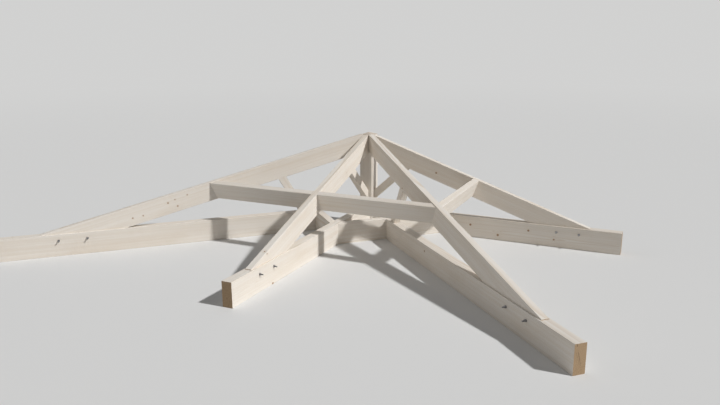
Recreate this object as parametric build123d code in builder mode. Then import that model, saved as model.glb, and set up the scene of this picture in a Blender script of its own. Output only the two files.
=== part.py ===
from build123d import *
import os
from math import atan, cos, radians, sin, sqrt, tan

# Half of a pyramid roof frame over a square plan, in timber. Four half trusses fan out from one
# king post at 45 degrees: left hip, front common, right hip, right common.
# Frame: origin on the king post axis at the level of the tie undersides, +Z up,
# -Y along the front common truss, +X along the right common truss. Millimetres.

# Azimuths of the four half trusses, degrees from +X.
LEFT_HIP = -135.0
FRONT_COMMON = -90.0
RIGHT_HIP = -45.0
RIGHT_COMMON = 0.0

# Roof lines. Heights and runs are taken in the vertical plane of a truss from the post axis.
APEX_Z = 1340.0
TIE_DEPTH = 280.0
COMMON_RUN = 3100.0
RISE = APEX_Z - TIE_DEPTH
COMMON_SLOPE = RISE / COMMON_RUN
HIP_SLOPE = COMMON_SLOPE / sqrt(2)
COMMON_PITCH = atan(COMMON_SLOPE)

# Timber sections.
TIE_WIDTH = 120.0
RAFTER_WIDTH = 80.0
RAFTER_DEPTH = 245.0
PURLIN_WIDTH = 80.0
PURLIN_DEPTH = 225.0
TRIMMER_WIDTH = 100.0
STRUT_WIDTH = 80.0
STRUT_DEPTH = 100.0
POST_SIDE = 200.0
POST_CORNER_FLAT = 24.0
SHOULDER_GAP = 1.0
ARRIS = 3.0

# Ends of the timbers, as distances from the post axis.
# The hip ties stop where their square ends touch the wall line that the common ties reach.
POST_FACE = POST_SIDE / 2
COMMON_TIE_END = 3465.0
HIP_TIE_END = COMMON_TIE_END * sqrt(2) - TIE_WIDTH / 2
TOE_IN = 20.0
COMMON_TOE = COMMON_RUN - TOE_IN
HIP_TOE = COMMON_TOE * sqrt(2)
TRIMMER_OUTER = 825.0
TRIMMER_INNER = TRIMMER_OUTER - TRIMMER_WIDTH
TRIMMER_PAST_TIE = 40.0
PURLIN_EDGE = 1630.0

# Struts, in the plane of their truss.
COMMON_STRUT_FOOT_Z = 380.0
COMMON_STRUT_ANGLE = radians(42.0)
HIP_STRUT_FOOT_R = 930.0
HIP_STRUT_ANGLE = radians(60.0)
HOUSING = 12.0

# Heel joint: a tenon under the rafter stands in a slot in the tie, two bolts cross both.
TENON_WIDTH = 40.0
TENON_DROP = 130.0
TENON_IN_FROM_TIP = 90.0
TENON_IN_FROM_TOE = 70.0
SLOT_FLOOR_GAP = 3.0
FIT = 0.5
BOLT_BELOW_TIE_TOP = 80.0
BOLT_Z = TIE_DEPTH - BOLT_BELOW_TIE_TOP
COMMON_BOLTS_IN = (405.0, 125.0)
HIP_BOLTS_IN = (535.0, 200.0)
COMMON_BOLTS = [COMMON_TOE - back for back in COMMON_BOLTS_IN]
HIP_BOLTS = [HIP_TOE - back for back in HIP_BOLTS_IN]

# Stub tenons that key the timbers into the post and the hip ties into the trimmers.
STUB_WIDTH = 30.0
STUB_LENGTH = 40.0
RAFTER_STUB_INSET = 60.0
TIE_STUB_INSET = 70.0

# Bolts, washers and nuts.
BOLT_D = 16.0
BOLT_HOLE_D = BOLT_D + 2 * FIT
WASHER_D = 30.0
WASHER_THICK = 3.0
NUT_FLATS = 24.0
NUT_THICK = 13.0
NUT_FIT = 0.1
BOLT_LONG_END = 26.0
BOLT_SHORT_END = 8.0


def heading(azimuth):
    # Level unit direction at an azimuth.
    return Vector(cos(radians(azimuth)), sin(radians(azimuth)), 0)


def truss_plane(azimuth):
    # Upright plane of a truss: x runs outward along the tie, y runs up.
    across = heading(azimuth - 90)
    return Plane(origin=(0, 0, 0), x_dir=heading(azimuth), z_dir=across)


def prism(plane, points, width, mode=Mode.ADD, grow=0.0):
    # Outline drawn in a plane and made solid evenly to both sides of it.
    with BuildSketch(plane) as face:
        with BuildLine():
            Polyline(*points, close=True)
        make_face()
        if grow:
            offset(amount=grow, kind=Kind.INTERSECTION)
    extrude(face.sketch, amount=width / 2, both=True, mode=mode)


def crossing(plane, spots, diameter, width):
    # Round holes square through a timber of the given width.
    with BuildSketch(plane) as rounds:
        with Locations(*spots):
            Circle(diameter / 2)
    extrude(rounds.sketch, amount=width / 2, both=True, mode=Mode.SUBTRACT)


def ease(part, along):
    # Planed arrises along the length of a timber.
    chamfer(part.edges().filter_by(Axis((0, 0, 0), along)), ARRIS)


def top_z(slope, r):
    return APEX_Z - slope * r


def under_z(slope, r):
    return top_z(slope, r) - RAFTER_DEPTH / cos(atan(slope))


def gap_tip(slope):
    # Where the rafter underside comes down onto the tie.
    return (under_z(slope, 0) - TIE_DEPTH) / slope


def heel_tenon(slope, toe, grow, drop):
    # Side outline of the heel tenon, or of its slot when grown. It starts inside the rafter.
    start = gap_tip(slope) + TENON_IN_FROM_TIP - grow
    end = toe - TENON_IN_FROM_TOE + grow
    foot = TIE_DEPTH - drop
    return [(start, TIE_DEPTH), (end, TIE_DEPTH), (end, foot), (start, foot)]


def stub(r_end, low, high):
    # Side outline of a stub tenon that points back at the post axis from r_end.
    return [(r_end - STUB_LENGTH, low), (r_end, low), (r_end, high), (r_end - STUB_LENGTH, high)]


def rafter_stub(slope):
    low = under_z(slope, POST_FACE) + RAFTER_STUB_INSET
    high = top_z(slope, POST_FACE) - RAFTER_STUB_INSET
    return stub(POST_FACE, low, high)


def tie_stub(r_end):
    return stub(r_end, TIE_STUB_INSET, TIE_DEPTH - TIE_STUB_INSET)


def corner_seat():
    # Side outline of the cut in a post corner behind the end of a hip rafter, a little below it.
    low = under_z(HIP_SLOPE, POST_FACE) - SHOULDER_GAP
    low_out = under_z(HIP_SLOPE, POST_SIDE) - SHOULDER_GAP
    return [(POST_FACE, low), (POST_SIDE, low_out), (POST_SIDE, APEX_Z), (POST_FACE, APEX_Z)]


def common_strut_outline():
    # Rises outward from the post face to the rafter underside, housed at both ends.
    rise = tan(COMMON_STRUT_ANGLE)
    low = COMMON_STRUT_FOOT_Z - rise * POST_FACE
    high = low + STRUT_DEPTH / cos(COMMON_STRUT_ANGLE)
    foot = POST_FACE - HOUSING
    roof = under_z(COMMON_SLOPE, 0) + HOUSING
    outer = (roof - low) / (rise + COMMON_SLOPE)
    inner = (roof - high) / (rise + COMMON_SLOPE)
    return [
        (foot, low + rise * foot),
        (outer, low + rise * outer),
        (inner, high + rise * inner),
        (foot, high + rise * foot),
    ]


def hip_strut_outline():
    # Rises outward from the tie top to the rafter underside, housed at both ends.
    rise = tan(HIP_STRUT_ANGLE)
    inner = HIP_STRUT_FOOT_R
    outer = inner + STRUT_DEPTH / sin(HIP_STRUT_ANGLE)
    foot = TIE_DEPTH - HOUSING
    roof = under_z(HIP_SLOPE, 0) + HOUSING
    corners = []
    for edge in (inner, outer):
        head = (roof - TIE_DEPTH + rise * edge) / (rise + HIP_SLOPE)
        corners.append((edge - HOUSING / rise, foot))
        corners.append((head, roof - HIP_SLOPE * head))
    return [corners[0], corners[2], corners[3], corners[1]]


def rafter(azimuth, slope, toe, bolts, strut):
    plane = truss_plane(azimuth)
    side = [
        (POST_FACE, under_z(slope, POST_FACE)),
        (gap_tip(slope), TIE_DEPTH),
        (toe, TIE_DEPTH),
        (toe, top_z(slope, toe)),
        (POST_FACE, top_z(slope, POST_FACE)),
    ]
    with BuildPart() as timber:
        prism(plane, side, RAFTER_WIDTH)
        ease(timber, heading(azimuth) - Vector(0, 0, slope))
        prism(plane, heel_tenon(slope, toe, 0, TENON_DROP), TENON_WIDTH)
        prism(plane, rafter_stub(slope), STUB_WIDTH)
        prism(plane, strut, STRUT_WIDTH + 2 * FIT, Mode.SUBTRACT, FIT)
        crossing(plane, [(r, BOLT_Z) for r in bolts], BOLT_HOLE_D, TIE_WIDTH)
    return timber


def tie(azimuth, start, end, slope, toe, bolts, strut):
    plane = truss_plane(azimuth)
    side = [(start, 0), (end, 0), (end, TIE_DEPTH), (start, TIE_DEPTH)]
    slot = heel_tenon(slope, toe, FIT, TENON_DROP + SLOT_FLOOR_GAP)
    with BuildPart() as timber:
        prism(plane, side, TIE_WIDTH)
        ease(timber, heading(azimuth))
        prism(plane, tie_stub(start), STUB_WIDTH)
        prism(plane, slot, TENON_WIDTH + 2 * FIT, Mode.SUBTRACT)
        prism(plane, strut, STRUT_WIDTH + 2 * FIT, Mode.SUBTRACT, FIT)
        crossing(plane, [(r, BOLT_Z) for r in bolts], BOLT_HOLE_D, 2 * TIE_WIDTH)
    return timber


def strut_timber(azimuth, outline):
    with BuildPart() as timber:
        prism(truss_plane(azimuth), outline, STRUT_WIDTH)
    return timber


def purlin(common, hip):
    # Square to the roof slope, its top in the roof plane, cut off at both rafters' side faces.
    down_slope = (cos(COMMON_PITCH), -sin(COMMON_PITCH))
    off_roof = (-sin(COMMON_PITCH), -cos(COMMON_PITCH))
    edge = (PURLIN_EDGE, top_z(COMMON_SLOPE, PURLIN_EDGE))
    back = (edge[0] - PURLIN_WIDTH * down_slope[0], edge[1] - PURLIN_WIDTH * down_slope[1])
    drop = (PURLIN_DEPTH * off_roof[0], PURLIN_DEPTH * off_roof[1])
    section = [edge, back, (back[0] + drop[0], back[1] + drop[1]), (edge[0] + drop[0], edge[1] + drop[1])]
    quarter = 90 if common > hip else -90
    with BuildPart() as timber:
        prism(truss_plane(common), section, 4 * PURLIN_EDGE)
        ease(timber, heading(common + 90))
        for into in (heading(hip + quarter), heading(common - quarter)):
            face = into * (RAFTER_WIDTH / 2)
            split(bisect_by=Plane(origin=(face.X, face.Y, 0), z_dir=into), keep=Keep.TOP)
    return timber


def trimmer(hip, plan):
    # Level beam square to a hip; it carries the inner end of the hip tie.
    with BuildPart() as timber:
        with BuildSketch(Plane.XY) as outline:
            with BuildLine():
                Polyline(*plan, close=True)
            make_face()
        extrude(outline.sketch, amount=TIE_DEPTH)
        ease(timber, heading(hip + 90))
        plane = truss_plane(hip)
        prism(plane, tie_stub(TRIMMER_OUTER), STUB_WIDTH + 2 * FIT, Mode.SUBTRACT, FIT)
    return timber


half_tie = TIE_WIDTH / 2
common_strut = common_strut_outline()
hip_strut = hip_strut_outline()

# King post: square, a face to each common truss, its corners taken off and the two corners
# under the hip rafters cut back to a seat; the top is cut to the four roof slopes.
with BuildPart() as king_post:
    with BuildSketch(Plane.XY) as section:
        Rectangle(POST_SIDE, POST_SIDE)
        chamfer(section.vertices(), POST_CORNER_FLAT / sqrt(2))
    extrude(amount=APEX_Z)
    for azimuth in (LEFT_HIP, RIGHT_HIP):
        prism(truss_plane(azimuth), corner_seat(), POST_SIDE, Mode.SUBTRACT)
    for quarter in range(4):
        lean = heading(90 * quarter) * sin(COMMON_PITCH)
        slope_plane = Plane(origin=(0, 0, APEX_Z), z_dir=(lean.X, lean.Y, cos(COMMON_PITCH)))
        split(bisect_by=slope_plane, keep=Keep.BOTTOM)
    for azimuth, slope in (
        (LEFT_HIP, HIP_SLOPE),
        (FRONT_COMMON, COMMON_SLOPE),
        (RIGHT_HIP, HIP_SLOPE),
        (RIGHT_COMMON, COMMON_SLOPE),
    ):
        prism(truss_plane(azimuth), rafter_stub(slope), STUB_WIDTH + 2 * FIT, Mode.SUBTRACT, FIT)
    for azimuth in (FRONT_COMMON, RIGHT_COMMON):
        prism(truss_plane(azimuth), tie_stub(POST_FACE), STUB_WIDTH + 2 * FIT, Mode.SUBTRACT, FIT)
        prism(truss_plane(azimuth), common_strut, STRUT_WIDTH + 2 * FIT, Mode.SUBTRACT, FIT)

front_common_rafter = rafter(FRONT_COMMON, COMMON_SLOPE, COMMON_TOE, COMMON_BOLTS, common_strut)
right_common_rafter = rafter(RIGHT_COMMON, COMMON_SLOPE, COMMON_TOE, COMMON_BOLTS, common_strut)
left_hip_rafter = rafter(LEFT_HIP, HIP_SLOPE, HIP_TOE, HIP_BOLTS, hip_strut)
right_hip_rafter = rafter(RIGHT_HIP, HIP_SLOPE, HIP_TOE, HIP_BOLTS, hip_strut)

common_tie = (POST_FACE, COMMON_TIE_END, COMMON_SLOPE, COMMON_TOE, COMMON_BOLTS, common_strut)
hip_tie = (TRIMMER_OUTER, HIP_TIE_END, HIP_SLOPE, HIP_TOE, HIP_BOLTS, hip_strut)
front_common_tie = tie(FRONT_COMMON, *common_tie)
right_common_tie = tie(RIGHT_COMMON, *common_tie)
left_hip_tie = tie(LEFT_HIP, *hip_tie)
right_hip_tie = tie(RIGHT_HIP, *hip_tie)

front_common_strut = strut_timber(FRONT_COMMON, common_strut)
right_common_strut = strut_timber(RIGHT_COMMON, common_strut)
left_hip_strut = strut_timber(LEFT_HIP, hip_strut)
right_hip_strut = strut_timber(RIGHT_HIP, hip_strut)

left_purlin = purlin(FRONT_COMMON, LEFT_HIP)
front_purlin = purlin(FRONT_COMMON, RIGHT_HIP)
right_purlin = purlin(RIGHT_COMMON, RIGHT_HIP)

# Trimmers: both start on the front common tie. The right one runs to the right common tie,
# the left one stops a little past the left hip tie.
on_tie_inner = half_tie - TRIMMER_INNER * sqrt(2)
on_tie_outer = half_tie - TRIMMER_OUTER * sqrt(2)
right_trimmer = trimmer(
    RIGHT_HIP,
    [(half_tie, on_tie_inner), (half_tie, on_tie_outer), (-on_tie_outer, -half_tie), (-on_tie_inner, -half_tie)],
)
past_tie = heading(LEFT_HIP - 90) * (half_tie + TRIMMER_PAST_TIE)
far_outer = heading(LEFT_HIP) * TRIMMER_OUTER + past_tie
far_inner = heading(LEFT_HIP) * TRIMMER_INNER + past_tie
left_trimmer = trimmer(
    LEFT_HIP,
    [(-half_tie, on_tie_inner), (-half_tie, on_tie_outer), (far_outer.X, far_outer.Y), (far_inner.X, far_inner.Y)],
)

# Two bolts to a heel. The long thread end stands out on the inner side of each pair of trusses.
heels = (
    (LEFT_HIP, HIP_BOLTS, -1),
    (FRONT_COMMON, COMMON_BOLTS, -1),
    (RIGHT_HIP, HIP_BOLTS, 1),
    (RIGHT_COMMON, COMMON_BOLTS, 1),
)
washer_seat = half_tie
nut_seat = washer_seat + WASHER_THICK
bolt_end = nut_seat + NUT_THICK
with BuildPart() as heel_bolts:
    for azimuth, radii, long_side in heels:
        start = truss_plane(azimuth).offset(-long_side * (bolt_end + BOLT_SHORT_END))
        with BuildSketch(start) as rods:
            with Locations(*[(r, BOLT_Z) for r in radii]):
                Circle(BOLT_D / 2)
        extrude(rods.sketch, amount=long_side * (2 * bolt_end + BOLT_SHORT_END + BOLT_LONG_END))
with BuildPart() as heel_washers:
    for azimuth, radii, long_side in heels:
        for face in (-1, 1):
            with BuildSketch(truss_plane(azimuth).offset(face * washer_seat)) as discs:
                with Locations(*[(r, BOLT_Z) for r in radii]):
                    Circle(WASHER_D / 2)
                    Circle(BOLT_HOLE_D / 2, mode=Mode.SUBTRACT)
            extrude(discs.sketch, amount=face * WASHER_THICK)
with BuildPart() as heel_nuts:
    for azimuth, radii, long_side in heels:
        for face in (-1, 1):
            with BuildSketch(truss_plane(azimuth).offset(face * nut_seat)) as hexes:
                with Locations(*[(r, BOLT_Z) for r in radii]):
                    RegularPolygon(NUT_FLATS / 2, 6, major_radius=False)
                    Circle(BOLT_D / 2 + NUT_FIT, mode=Mode.SUBTRACT)
            extrude(hexes.sketch, amount=face * NUT_THICK)

pieces = {
    "king_post": king_post,
    "left_hip_rafter": left_hip_rafter,
    "front_common_rafter": front_common_rafter,
    "right_hip_rafter": right_hip_rafter,
    "right_common_rafter": right_common_rafter,
    "left_hip_tie": left_hip_tie,
    "front_common_tie": front_common_tie,
    "right_hip_tie": right_hip_tie,
    "right_common_tie": right_common_tie,
    "left_hip_strut": left_hip_strut,
    "front_common_strut": front_common_strut,
    "right_hip_strut": right_hip_strut,
    "right_common_strut": right_common_strut,
    "left_purlin": left_purlin,
    "front_purlin": front_purlin,
    "right_purlin": right_purlin,
    "left_trimmer": left_trimmer,
    "right_trimmer": right_trimmer,
    "heel_bolts": heel_bolts,
    "heel_washers": heel_washers,
    "heel_nuts": heel_nuts,
}
os.makedirs("parts", exist_ok=True)
for node, piece in pieces.items():
    piece.part.label = node
    export_step(piece.part, f"parts/{node}.step")
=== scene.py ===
import bpy
import math
from mathutils import Matrix, Vector


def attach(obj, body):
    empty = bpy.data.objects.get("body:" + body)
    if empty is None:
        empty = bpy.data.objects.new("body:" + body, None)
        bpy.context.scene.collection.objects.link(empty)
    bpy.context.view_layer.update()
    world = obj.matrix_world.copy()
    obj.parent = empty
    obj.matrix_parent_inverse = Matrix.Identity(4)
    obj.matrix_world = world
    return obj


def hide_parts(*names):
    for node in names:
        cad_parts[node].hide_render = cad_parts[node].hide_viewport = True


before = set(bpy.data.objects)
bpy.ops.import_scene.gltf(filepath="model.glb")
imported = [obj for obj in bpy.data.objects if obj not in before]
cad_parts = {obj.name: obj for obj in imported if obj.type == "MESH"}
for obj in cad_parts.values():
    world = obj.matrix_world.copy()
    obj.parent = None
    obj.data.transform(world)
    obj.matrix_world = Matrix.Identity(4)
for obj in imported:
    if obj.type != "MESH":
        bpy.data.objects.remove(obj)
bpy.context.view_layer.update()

# Half of a pyramid roof frame in planed spruce, dressed in the frame of the CAD source, in metres.
# The timbers keep their CAD meshes and get a solid wood texture. Rods, washers and nuts are made here.

# Azimuths of the four half trusses, degrees from +X.
LEFT_HIP = -135.0
FRONT_COMMON = -90.0
RIGHT_HIP = -45.0
RIGHT_COMMON = 0.0

# Roof lines and sections, as in the CAD source.
APEX_Z = 1.340
TIE_DEPTH = 0.280
COMMON_RUN = 3.100
COMMON_SLOPE = (APEX_Z - TIE_DEPTH) / COMMON_RUN
HIP_SLOPE = COMMON_SLOPE / math.sqrt(2)
COMMON_STRUT_ANGLE = math.radians(42.0)
HIP_STRUT_ANGLE = math.radians(60.0)
TIE_HALF = 0.060
RAFTER_HALF = 0.040

# Heel bolts, as distances out from the post axis.
TOE_IN = 0.020
BOLT_BELOW_TIE_TOP = 0.080
BOLT_Z = TIE_DEPTH - BOLT_BELOW_TIE_TOP
COMMON_TOE = COMMON_RUN - TOE_IN
HIP_TOE = COMMON_TOE * math.sqrt(2)
COMMON_BOLTS_IN = (0.405, 0.125)
HIP_BOLTS_IN = (0.535, 0.200)
COMMON_BOLTS = [COMMON_TOE - back for back in COMMON_BOLTS_IN]
HIP_BOLTS = [HIP_TOE - back for back in HIP_BOLTS_IN]

UP = Vector((0, 0, 1))


def heading(azimuth):
    """The level unit vector at an azimuth in degrees."""
    return Vector((math.cos(math.radians(azimuth)), math.sin(math.radians(azimuth)), 0))


def raised(azimuth, angle):
    """The unit vector at an azimuth in degrees, raised above the level by an angle in radians."""
    return math.cos(angle) * heading(azimuth) + math.sin(angle) * UP


# Shader nodes
class Tree:
    """Adds shader nodes to a material or a world and links them."""

    def __init__(self, owner):
        owner.use_nodes = True
        self.tree = owner.node_tree
        self.tree.nodes.clear()

    def feed(self, socket, value):
        if isinstance(value, bpy.types.NodeSocket):
            self.tree.links.new(value, socket)
        else:
            socket.default_value = value

    def node(self, kind, inputs=(), **settings):
        made = self.tree.nodes.new(kind)
        for key, value in settings.items():
            setattr(made, key, value)
        for key, value in dict(inputs).items():
            self.feed(made.inputs[key], value)
        return made

    def output(self, kind, shader):
        self.node(kind, {"Surface": shader.outputs[0]}).is_active_output = True

    def math(self, operation, a, b=0.0):
        return self.node("ShaderNodeMath", {0: a, 1: b}, operation=operation).outputs[0]

    def vector_math(self, operation, a, b):
        return self.node("ShaderNodeVectorMath", {0: a, 1: b}, operation=operation).outputs["Vector"]

    def length(self, a):
        return self.node("ShaderNodeVectorMath", {0: a}, operation="LENGTH").outputs["Value"]

    def dot(self, a, b):
        return self.node("ShaderNodeVectorMath", {0: a, 1: b}, operation="DOT_PRODUCT").outputs["Value"]

    def join(self, x, y, z):
        return self.node("ShaderNodeCombineXYZ", {0: x, 1: y, 2: z}).outputs[0]

    def stretched(self, grain, along, across):
        """The place in the timber in pattern units, so many to a metre along the grain and across it."""
        scales = (along, across, across)
        return self.join(*[self.math("MULTIPLY", place, scale) for place, scale in zip(grain, scales)])

    def noise(self, vector, scale=1.0, detail=2.0, rough=0.5):
        inputs = {"Vector": vector, "Scale": scale, "Detail": detail, "Roughness": rough}
        return self.node("ShaderNodeTexNoise", inputs).outputs[0]

    def ramp(self, value, low, high, to_low=0.0, to_high=1.0):
        """Goes smoothly from to_low to to_high while the value goes from low to high."""
        inputs = {0: value, 1: low, 2: high, 3: to_low, 4: to_high}
        return self.node("ShaderNodeMapRange", inputs, interpolation_type="SMOOTHSTEP").outputs[0]

    def mix(self, factor, a, b):
        """Mixes two colours, each a socket or three numbers."""
        made = self.node("ShaderNodeMix", {"Factor": factor}, data_type="RGBA")
        for key, value in ((6, a), (7, b)):
            self.feed(made.inputs[key], value if isinstance(value, bpy.types.NodeSocket) else (*value, 1.0))
        return made.outputs[2]


# Timber: colours of planed faces, knots and sawn ends
PALE = (0.810, 0.762, 0.698)
DEEP = (0.640, 0.535, 0.415)
WARM = (0.745, 0.672, 0.580)
FIBRE_LIGHT = (0.84, 0.80, 0.75)
KNOT_BROWN = (0.42, 0.27, 0.16)
KNOT_HEART = (0.20, 0.11, 0.06)
SAWN_EARLY = (0.47, 0.335, 0.205)
SAWN_LATE = (0.235, 0.145, 0.080)
SAWN_DULL = (0.30, 0.20, 0.115)
DRYING_CHECK = (0.09, 0.055, 0.03)
# Painted sunlight: the king post's sawn ends are blended this share of the way to the planed colour, as for
# its sunlit top.
POST_TOP_PAINTED_SUNLIGHT = 0.55

# Timber: lengths in metres. Scattered knots lie in cells, so many to a metre, and some cells have none.
SEED_SHIFT = 7.3
KNOT_CELLS_ALONG = 2.1
KNOT_CELLS_ACROSS = 9.0
KNOT_SQUEEZE = 0.875
KNOT_CHANCE_FROM = 0.60
LARGEST_KNOT_R = 0.015
SMALLEST_KNOT_R = 0.0001
KNOT_WOBBLE = 0.5
PITH_BESIDE = 0.035
PITH_BESIDE_SPREAD = 0.06
PITH_ABOVE = 0.10
PITH_ABOVE_SPREAD = 0.09
PITH_BEND = 0.05
RINGS_PER_METRE = 250.0
RING_UNEVENNESS = 13.2
RING_PUSH_AT_KNOT = 0.009
STRIPES_ACROSS = 38.0
CLOUDS_ACROSS = 5.0
FIBRES_ACROSS = 900.0
END_FACES_FROM = 0.80
END_FACES_TO = 0.93
WOOD_BUMP = 0.0012
WOOD_GLOSS = 0.3


def toned(colour, tone):
    return tuple(tone * c for c in colour)


def knot_masks(t, place, grain, own_knots):
    """Masks of the knots, of their dark hearts and of the grain that swirls round them."""
    cells = t.stretched(grain, KNOT_CELLS_ALONG, KNOT_CELLS_ACROSS)
    settings = {"Vector": cells, "Scale": 1.0, "Randomness": 1.0}
    voronoi = t.node("ShaderNodeTexVoronoi", settings, feature="F1")
    offset = t.vector_math("SUBTRACT", cells, voronoi.outputs["Position"])
    cell_size = (KNOT_SQUEEZE / KNOT_CELLS_ALONG, 1 / KNOT_CELLS_ACROSS, 1 / KNOT_CELLS_ACROSS)
    distance = t.length(t.vector_math("MULTIPLY", offset, cell_size))
    chance = t.node("ShaderNodeSeparateColor", {0: voronoi.outputs["Color"]}).outputs[0]
    radius = t.ramp(chance, KNOT_CHANCE_FROM, 1.0, to_high=LARGEST_KNOT_R)

    # Distance from the nearest knot, counted in radii of that knot.
    near = t.math("DIVIDE", distance, t.math("MAXIMUM", radius, SMALLEST_KNOT_R))
    for centre, own_radius in own_knots:
        gap = t.length(t.vector_math("SUBTRACT", place, centre))
        near = t.math("MINIMUM", near, t.math("DIVIDE", gap, own_radius))
    wobble = t.math("SUBTRACT", t.noise(t.stretched(grain, 30.0, 60.0)), 0.5)
    near = t.math("ADD", near, t.math("MULTIPLY", wobble, KNOT_WOBBLE))
    knot = t.ramp(near, 1.30, 0.65)
    heart = t.ramp(near, 0.8, 0.1)
    swirl = t.ramp(near, 4.5, 0.9)
    return knot, heart, swirl


def scattered(seed, rate, size):
    """A number from 0 to 1 that looks random and is always the same for one seed."""
    return (math.sin(seed * rate) * size) % 1.0


def growth_rings(t, grain, swirl, seed):
    """Rings about a slowly bending pith line: place across it, distance from it, and the late wood."""
    _, y, z = grain
    pith_y = PITH_BESIDE + PITH_BESIDE_SPREAD * scattered(seed, 12.9898, 43758.5453)
    pith_z = PITH_ABOVE + PITH_ABOVE_SPREAD * scattered(seed, 78.233, 24634.6345)
    pith_z = pith_z if seed % 2 else -pith_z
    slow = t.noise(t.stretched(grain, 0.55, 3.0), detail=1.0)
    bend = t.math("MULTIPLY", t.math("SUBTRACT", slow, 0.5), PITH_BEND)
    from_y = t.math("ADD", t.math("SUBTRACT", y, pith_y), bend)
    from_z = t.math("SUBTRACT", t.math("SUBTRACT", z, pith_z), t.math("MULTIPLY", bend, 0.6))

    # The rings are pushed out round a knot, and some years grow more than others.
    ring_r = t.length(t.join(0.0, from_y, from_z))
    ring_r = t.math("ADD", ring_r, t.math("MULTIPLY", swirl, RING_PUSH_AT_KNOT))
    years = t.noise(t.join(0.0, 0.0, t.math("MULTIPLY", ring_r, 22.0)), detail=1.0)
    count = t.math("MULTIPLY", ring_r, RINGS_PER_METRE)
    phase = t.math("FRACT", t.math("ADD", count, t.math("MULTIPLY", years, RING_UNEVENNESS)))
    late = t.math("MULTIPLY", t.ramp(phase, 0.35, 0.92), t.ramp(phase, 1.0, 0.95))
    return from_y, from_z, ring_r, late


def planed_colour(t, grain, rings, masks, fibre, tone):
    """Colour of a planed face: late wood, broad stripes, soft clouds, fibre and knots."""
    from_y, from_z, _, late = rings
    knot, heart, swirl = masks
    pale, deep, warm = toned(PALE, tone), toned(DEEP, tone), toned(WARM, tone)
    stripes = t.noise(t.stretched((grain[0], from_y, from_z), 0.35, STRIPES_ACROSS), detail=3.0)
    cloud = t.noise(t.stretched(grain, 1.3, CLOUDS_ACROSS), detail=3.0)
    colour = t.mix(t.math("MULTIPLY", late, t.ramp(stripes, 0.35, 0.7, 0.35, 0.95)), pale, deep)
    colour = t.mix(t.ramp(stripes, 0.42, 0.75, to_high=0.55), colour, warm)
    colour = t.mix(t.ramp(cloud, 0.45, 0.75, to_high=0.30), colour, deep)
    colour = t.mix(t.ramp(fibre, 0.35, 0.75, to_high=0.22), colour, toned(FIBRE_LIGHT, tone))
    colour = t.mix(t.math("MULTIPLY", swirl, 0.35), colour, warm)
    colour = t.mix(knot, colour, KNOT_BROWN)
    return t.mix(t.math("MULTIPLY", heart, 0.6), colour, KNOT_HEART)


def sawn_colour(t, rings, fibre, seed, tone, painted_sunlight):
    """Colour of a sawn end: darker rings, and drying checks along the radii. Painted sunlight makes an end
    paler, blended towards the planed colour.
    """
    from_y, from_z, ring_r, late = rings

    # Painted sunlight: blends a sawn colour towards the planed colour by the given share.
    def with_painted_sunlight(colour):
        return tuple((1 - painted_sunlight) * old + painted_sunlight * new for old, new in zip(colour, toned(PALE, tone)))

    colour = t.mix(t.math("MULTIPLY", late, 0.85), with_painted_sunlight(SAWN_EARLY), with_painted_sunlight(SAWN_LATE))
    colour = t.mix(t.ramp(fibre, 0.3, 0.8, to_high=0.35), colour, with_painted_sunlight(SAWN_DULL))
    spoke = t.math("ARCTAN2", from_z, from_y)
    wander = t.noise(t.join(t.math("MULTIPLY", spoke, 4.0), 3.1 * seed, 0.0))
    split_line = t.math("ABSOLUTE", t.math("SUBTRACT", wander, 0.5))
    opened = t.noise(t.join(t.math("MULTIPLY", spoke, 2.0), t.math("MULTIPLY", ring_r, 14.0), 1.7 * seed))
    drying = t.math("MULTIPLY", t.ramp(split_line, 0.010, 0.002), t.ramp(opened, 0.46, 0.56))
    return t.mix(t.math("MULTIPLY", drying, 0.75), colour, DRYING_CHECK)


def wood(name, along, seed, tone, own_knots, painted_sunlight):
    """Planed spruce as a solid texture that runs along the timber, also into its sawn ends."""
    material = bpy.data.materials.new(name)
    t = Tree(material)
    along = along.normalized()
    side = UP.cross(along)
    side = side.normalized() if side.length > 1e-6 else Vector((1, 0, 0))
    place = t.node("ShaderNodeTexCoord").outputs["Object"]
    x = t.math("ADD", t.dot(place, along), SEED_SHIFT * seed)
    grain = (x, t.dot(place, side), t.dot(place, along.cross(side)))

    masks = knot_masks(t, place, grain, own_knots)
    knot, _, swirl = masks
    rings = growth_rings(t, grain, swirl, seed)
    late = rings[-1]
    fibre = t.noise(t.stretched(grain, 9.0, FIBRES_ACROSS), detail=3.0, rough=0.6)
    planed = planed_colour(t, grain, rings, masks, fibre, tone)
    sawn = sawn_colour(t, rings, fibre, seed, tone, painted_sunlight)
    normal = t.node("ShaderNodeNewGeometry").outputs["Normal"]
    at_end = t.ramp(t.math("ABSOLUTE", t.dot(normal, along)), END_FACES_FROM, END_FACES_TO)
    colour = t.mix(at_end, planed, sawn)

    rough = t.math("ADD", t.ramp(fibre, 0.2, 0.8, 0.52, 0.66), t.math("MULTIPLY", at_end, 0.2))
    height = t.math("ADD", t.math("MULTIPLY", late, 0.12), t.math("MULTIPLY", fibre, 0.6))
    height = t.math("SUBTRACT", height, t.math("MULTIPLY", knot, 0.5))
    bump = t.node("ShaderNodeBump", {"Strength": 0.35, "Distance": WOOD_BUMP, "Height": height}).outputs[0]
    surface = {"Base Color": colour, "Roughness": rough, "Normal": bump, "Specular IOR Level": WOOD_GLOSS}
    t.output("ShaderNodeOutputMaterial", t.node("ShaderNodeBsdfPrincipled", surface))
    return material


def down_rafter(azimuth, slope):
    """The direction down a rafter whose slope is its fall over its run."""
    return heading(azimuth) - slope * UP


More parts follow.
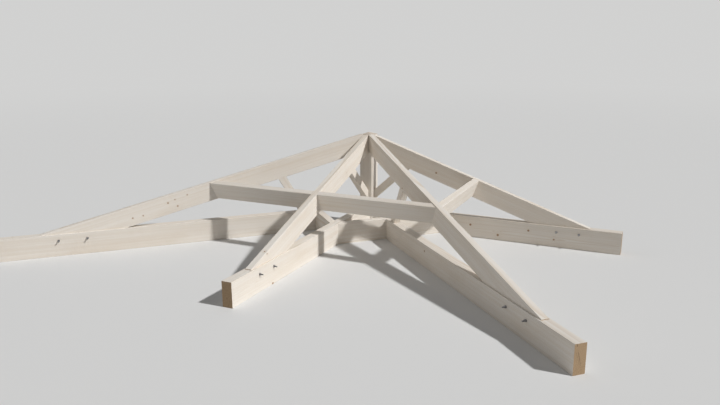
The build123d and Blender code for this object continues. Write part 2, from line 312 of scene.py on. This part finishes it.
# Each timber's node, the direction of its grain and its tone.
timbers = (
    ("king_post", UP, 0.97),
    ("left_hip_rafter", down_rafter(LEFT_HIP, HIP_SLOPE), 1.02),
    ("front_common_rafter", down_rafter(FRONT_COMMON, COMMON_SLOPE), 1.04),
    ("right_hip_rafter", down_rafter(RIGHT_HIP, HIP_SLOPE), 0.99),
    ("right_common_rafter", down_rafter(RIGHT_COMMON, COMMON_SLOPE), 1.01),
    ("left_hip_tie", heading(LEFT_HIP), 0.99),
    ("front_common_tie", heading(FRONT_COMMON), 1.03),
    ("right_hip_tie", heading(RIGHT_HIP), 0.97),
    ("right_common_tie", heading(RIGHT_COMMON), 0.98),
    ("left_hip_strut", raised(LEFT_HIP, HIP_STRUT_ANGLE), 0.98),
    ("front_common_strut", raised(FRONT_COMMON, COMMON_STRUT_ANGLE), 1.00),
    ("right_hip_strut", raised(RIGHT_HIP, HIP_STRUT_ANGLE), 1.01),
    ("right_common_strut", raised(RIGHT_COMMON, COMMON_STRUT_ANGLE), 0.99),
    ("left_purlin", heading(RIGHT_COMMON), 1.01),
    ("front_purlin", heading(RIGHT_COMMON), 0.99),
    ("right_purlin", heading(FRONT_COMMON), 1.00),
    ("left_trimmer", heading(LEFT_HIP - 90), 1.02),
    ("right_trimmer", heading(RIGHT_HIP + 90), 1.00),
)


def knots_on(azimuth, facing, offset, *spots):
    """Knots on a timber at an offset to its facing side, each a distance out, a height and a radius."""
    side = heading(facing) * offset
    return [(heading(azimuth) * out + side + height * UP, radius) for out, height, radius in spots]


# Knots that the photograph shows, to a few centimetres.
left_hip_spots = (
    (3.26, 0.40, 0.010),
    (3.13, 0.42, 0.009),
    (2.81, 0.56, 0.011),
    (2.72, 0.60, 0.008),
    (2.69, 0.51, 0.010),
    (2.56, 0.65, 0.009),
)
right_tie_spots = ((1.54, 0.17, 0.015), (1.92, 0.07, 0.016), (2.32, 0.18, 0.014), (2.65, 0.10, 0.012))
FROM_RAFTER_MIDDLE = 0.01
front_side_spot = knots_on(FRONT_COMMON, RIGHT_COMMON, RAFTER_HALF, (2.77, 0.37, 0.009))
front_top_spot = knots_on(FRONT_COMMON, RIGHT_COMMON, FROM_RAFTER_MIDDLE, (2.77, 0.39, 0.010))
set_knots = {
    "left_hip_rafter": knots_on(LEFT_HIP, RIGHT_HIP, RAFTER_HALF, *left_hip_spots),
    "front_common_rafter": front_side_spot + front_top_spot,
    "right_hip_rafter": knots_on(RIGHT_HIP, LEFT_HIP, RAFTER_HALF, (1.30, 0.80, 0.012)),
    "right_common_rafter": knots_on(RIGHT_COMMON, FRONT_COMMON, RAFTER_HALF, (1.03, 0.84, 0.013)),
    "right_common_tie": knots_on(RIGHT_COMMON, FRONT_COMMON, TIE_HALF, *right_tie_spots),
}
for seed, (node, along, tone) in enumerate(timbers, start=1):
    # Painted sunlight on the king post's sawn ends; the other timbers get none.
    painted_sunlight = POST_TOP_PAINTED_SUNLIGHT if node == "king_post" else 0.0
    spruce = wood("spruce_" + node, along, seed, tone, set_knots.get(node, ()), painted_sunlight)
    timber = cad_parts[node].data
    timber.materials.clear()
    timber.materials.append(spruce)


# Heel bolts in plain dark steel
STEEL_CLEAN = (0.32, 0.32, 0.33)
STEEL_DULL = (0.19, 0.185, 0.18)
STEEL_BUMP = 0.0003
BOLT_R = 0.008
THREAD_PITCH = 0.002
THREAD_DEPTH = 0.0011
RINGS_PER_PITCH = 4
BOLT_TIP_DROP = 0.0016
BOLT_TIP_LENGTH = 0.0012
SHANK_DROP = 0.0004
THREAD_INTO_TIE = 0.004
SHANK_FROM_FACE = 0.006
WASHER_R = 0.015
WASHER_HOLE_R = 0.0085
WASHER_THICK = 0.003
WASHER_EASE_R = 0.0006
WASHER_EASE = 0.0004
NUT_FLATS = 0.024
NUT_THICK = 0.013
NUT_CHAMFER = 0.0016
NUT_SEAT_DROP = 0.0004
NUT_TOP_DROP = 0.0006
NUT_BORE_R = BOLT_R + 0.0001
NUT_TURN_PER_BOLT = 0.4
NUT_TURN_PER_FACE = 0.9
LONG_END = 0.026
SHORT_END = 0.008
ROUND_STEPS = 28
NUT_STEPS = 36


def dark_steel():
    """Plain dark steel with duller patches."""
    material = bpy.data.materials.new("plain_dark_steel")
    t = Tree(material)
    place = t.node("ShaderNodeTexCoord").outputs["Object"]
    patches = t.noise(place, scale=70.0, detail=3.0)
    fine = t.noise(place, scale=900.0)
    colour = t.mix(t.ramp(patches, 0.35, 0.7), STEEL_CLEAN, STEEL_DULL)
    rough = t.math("ADD", t.ramp(patches, 0.3, 0.7, 0.32, 0.5), t.math("MULTIPLY", fine, 0.08))
    bump = t.node("ShaderNodeBump", {"Strength": 0.2, "Distance": STEEL_BUMP, "Height": fine}).outputs[0]
    surface = {"Base Color": colour, "Metallic": 0.85, "Roughness": rough, "Normal": bump}
    t.output("ShaderNodeOutputMaterial", t.node("ShaderNodeBsdfPrincipled", surface))
    return material


def bolt_frames():
    """One matrix to a bolt: local Z runs along the bolt towards its long thread end."""
    heels = (
        (LEFT_HIP, HIP_BOLTS, -1),
        (FRONT_COMMON, COMMON_BOLTS, -1),
        (RIGHT_HIP, HIP_BOLTS, 1),
        (RIGHT_COMMON, COMMON_BOLTS, 1),
    )
    for azimuth, distances, long_side in heels:
        axis = heading(azimuth - 90) * long_side
        turn = Matrix((UP.cross(axis), UP, axis)).transposed().to_4x4()
        for distance in distances:
            yield Matrix.Translation(heading(azimuth) * distance + BOLT_Z * UP) @ turn


def mesh_piece(name, parts, smooth, node):
    """One piece that replaces a CAD node. Only quads are shaded smooth, so flat ends stay flat."""
    verts, faces = parts
    mesh = bpy.data.meshes.new(name)
    mesh.from_pydata(verts, [], faces)
    mesh.validate()
    for polygon in mesh.polygons:
        polygon.use_smooth = smooth and len(polygon.vertices) == 4
    mesh.materials.append(steel)
    piece = bpy.data.objects.new(name, mesh)
    bpy.context.scene.collection.objects.link(piece)
    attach(piece, "root")
    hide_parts(node)


def lathe(parts, rows, steps, matrix, closed=False):
    """Adds a turned surface. A row is a function of the angle that gives a radius and a height."""
    verts, faces = parts
    base = len(verts)
    for row in rows:
        for k in range(steps):
            angle = 2 * math.pi * k / steps
            radius, height = row(angle)
            verts.append(matrix @ Vector((radius * math.cos(angle), radius * math.sin(angle), height)))
    count = len(rows)
    for i in range(count if closed else count - 1):
        lower = base + i * steps
        upper = base + ((i + 1) % count) * steps
        for k in range(steps):
            beside = (k + 1) % steps
            faces.append((lower + k, lower + beside, upper + beside, upper + k))
    if not closed:
        faces.append(tuple(base + k for k in reversed(range(steps))))
        faces.append(tuple(base + (count - 1) * steps + k for k in range(steps)))


def plain_row(radius, height):
    return lambda angle: (radius, height)


def thread_row(height):
    """A ring of the thread: its radius dips once to a turn, so the rings make a helix."""

    def row(angle):
        turn = (height / THREAD_PITCH - angle / (2 * math.pi)) % 1.0
        return BOLT_R - THREAD_DEPTH * abs(2 * turn - 1), height

    return row


def hex_row(twist, height):
    """A six-sided ring across the nut's flats."""

    def row(angle):
        sector = (angle + twist + math.pi / 6) % (math.pi / 3) - math.pi / 6
        return NUT_FLATS / 2 / math.cos(sector), height

    return row


def thread_rows(low, high):
    rows = []
    height = low
    while height < high:
        rows.append(thread_row(height))
        height += THREAD_PITCH / RINGS_PER_PITCH
    return rows


def rod_rows():
    """A rod from its short end to its long one, threaded outside the tie and plain within it."""
    half_stack = TIE_HALF + WASHER_THICK + NUT_THICK
    low, high = -half_stack - SHORT_END, half_stack + LONG_END
    tip_r, shank_r = BOLT_R - BOLT_TIP_DROP, BOLT_R - SHANK_DROP
    thread_inside = TIE_HALF - THREAD_INTO_TIE
    shank_end = TIE_HALF - SHANK_FROM_FACE
    return (
        [plain_row(tip_r, low)]
        + thread_rows(low + BOLT_TIP_LENGTH, -thread_inside)
        + [plain_row(shank_r, -shank_end), plain_row(shank_r, shank_end)]
        + thread_rows(thread_inside, high - BOLT_TIP_LENGTH)
        + [plain_row(tip_r, high)]
    )


def washer_rows(face):
    """A flat washer on one face of the tie, face -1 or 1, with an eased outer edge."""
    inner = face * TIE_HALF
    outer = face * (TIE_HALF + WASHER_THICK)
    rows = [
        plain_row(WASHER_HOLE_R, inner),
        plain_row(WASHER_R, inner),
        plain_row(WASHER_R, outer - face * WASHER_EASE),
        plain_row(WASHER_R - WASHER_EASE_R, outer),
        plain_row(WASHER_HOLE_R, outer),
    ]
    return rows[::face]


def nut_rows(face, twist):
    """A six-sided nut on a washer, chamfered at its seat and its top."""
    seat = face * (TIE_HALF + WASHER_THICK)
    top = face * (TIE_HALF + WASHER_THICK + NUT_THICK)
    rows = [
        plain_row(NUT_BORE_R, seat),
        plain_row(NUT_FLATS / 2 - NUT_SEAT_DROP, seat),
        hex_row(twist, seat + face * NUT_CHAMFER),
        hex_row(twist, top - face * NUT_CHAMFER),
        plain_row(NUT_FLATS / 2 - NUT_TOP_DROP, top),
        plain_row(NUT_BORE_R, top),
    ]
    return rows[::face]


steel = dark_steel()
rods, washers, nuts = ([], []), ([], []), ([], [])
for number, matrix in enumerate(bolt_frames()):
    lathe(rods, rod_rows(), ROUND_STEPS, matrix)
    for face in (-1, 1):
        twist = NUT_TURN_PER_BOLT * number + NUT_TURN_PER_FACE * face
        lathe(washers, washer_rows(face), ROUND_STEPS, matrix, closed=True)
        lathe(nuts, nut_rows(face, twist), NUT_STEPS, matrix, closed=True)
mesh_piece("threaded_rods", rods, True, "heel_bolts")
mesh_piece("flat_washers", washers, False, "heel_washers")
mesh_piece("hex_nuts", nuts, False, "heel_nuts")

# Studio: a pale floor that fades into a pale backdrop, soft light from all round, two lamps
BACKDROP = (0.64, 0.64, 0.635, 1.0)
WHITE = (1.0, 1.0, 1.0, 1.0)
FLOOR_COLOUR = (0.76, 0.76, 0.755, 1.0)
AMBIENT = 0.18
FLOOR_R = 70.0
FLOOR_SIDES = 64
FADE_FROM = 8.0
FADE_TO = 30.0


def add_world():
    """Soft light on the object, and the backdrop's own colour for the camera, metal and glass."""
    world = bpy.data.worlds.new("studio")
    bpy.context.scene.world = world
    t = Tree(world)
    path = t.node("ShaderNodeLightPath").outputs
    seen = t.math("MAXIMUM", path["Is Camera Ray"], path["Is Glossy Ray"])
    seen = t.math("MAXIMUM", seen, path["Is Transmission Ray"])
    soft = t.node("ShaderNodeBackground", {"Color": WHITE, "Strength": AMBIENT})
    plain = t.node("ShaderNodeBackground", {"Color": BACKDROP, "Strength": 1.0})
    either = t.node("ShaderNodeMixShader", {0: seen, 1: soft.outputs[0], 2: plain.outputs[0]})
    t.output("ShaderNodeOutputWorld", either)


def floor_material():
    """Matt near the object and fading far out into the backdrop's colour, so that no horizon shows."""
    material = bpy.data.materials.new("studio_floor")
    t = Tree(material)
    place = t.node("ShaderNodeTexCoord").outputs["Object"]
    matt = t.node("ShaderNodeBsdfDiffuse", {"Color": FLOOR_COLOUR})
    camera_ray = t.node("ShaderNodeLightPath").outputs["Is Camera Ray"]
    glow_level = t.ramp(camera_ray, 0.0, 1.0, AMBIENT, 1.0)
    glow = t.node("ShaderNodeEmission", {"Color": BACKDROP, "Strength": glow_level})
    fade = t.ramp(t.length(place), FADE_FROM, FADE_TO)
    both = t.node("ShaderNodeMixShader", {0: fade, 1: matt.outputs[0], 2: glow.outputs[0]})
    t.output("ShaderNodeOutputMaterial", both)
    return material


def add_floor():
    corners = [FLOOR_R * heading(360 * k / FLOOR_SIDES) for k in range(FLOOR_SIDES)]
    triangles = [(0, k + 1, (k + 1) % FLOOR_SIDES + 1) for k in range(FLOOR_SIDES)]
    mesh = bpy.data.meshes.new("studio_floor")
    mesh.from_pydata([(0, 0, 0)] + corners, [], triangles)
    mesh.materials.append(floor_material())
    floor = bpy.data.objects.new("studio_floor", mesh)
    bpy.context.scene.collection.objects.link(floor)


def add_lamp(name, azimuth, elevation, strength, spread):
    """A distant lamp, so that every part of the object and the floor gets the same light from it."""
    light = bpy.data.lights.new(name, "SUN")
    light.energy = strength
    light.angle = math.radians(spread)
    lamp = bpy.data.objects.new(name, light)
    towards = raised(azimuth, math.radians(elevation))
    lamp.rotation_euler = towards.to_track_quat("Z", "Y").to_euler()
    bpy.context.scene.collection.objects.link(lamp)


add_world()
add_floor()
add_lamp("key", azimuth=2.0, elevation=42.0, strength=2.80, spread=3.0)
add_lamp("fill", azimuth=-160.0, elevation=30.0, strength=0.18, spread=30.0)

# Camera, solved from the photograph
CAMERA_PLACE = Vector((3.9419, -8.6745, 2.698))
VIEW_AZIMUTH = 115.21
VIEW_DOWN = math.radians(14.08)
VIEW_ROLL = math.radians(-0.26)
FOCAL_PIXELS = 675.476
PHOTO_WIDTH = 720
SENSOR_WIDTH = 36.0
CLIP_END = 200.0


def add_camera():
    ahead = raised(VIEW_AZIMUTH, -VIEW_DOWN)
    level_right = heading(VIEW_AZIMUTH - 90)
    level_top = level_right.cross(ahead)
    right = math.cos(VIEW_ROLL) * level_right + math.sin(VIEW_ROLL) * level_top
    top = -math.sin(VIEW_ROLL) * level_right + math.cos(VIEW_ROLL) * level_top
    lens = bpy.data.cameras.new("camera")
    lens.sensor_width = SENSOR_WIDTH
    lens.lens = FOCAL_PIXELS / PHOTO_WIDTH * SENSOR_WIDTH
    lens.clip_end = CLIP_END
    camera = bpy.data.objects.new("camera", lens)
    turn = Matrix((right, top, -ahead)).transposed().to_4x4()
    camera.matrix_world = Matrix.Translation(CAMERA_PLACE) @ turn
    bpy.context.scene.collection.objects.link(camera)
    bpy.context.scene.camera = camera


add_camera()
bpy.context.scene.view_settings.view_transform = "Standard"
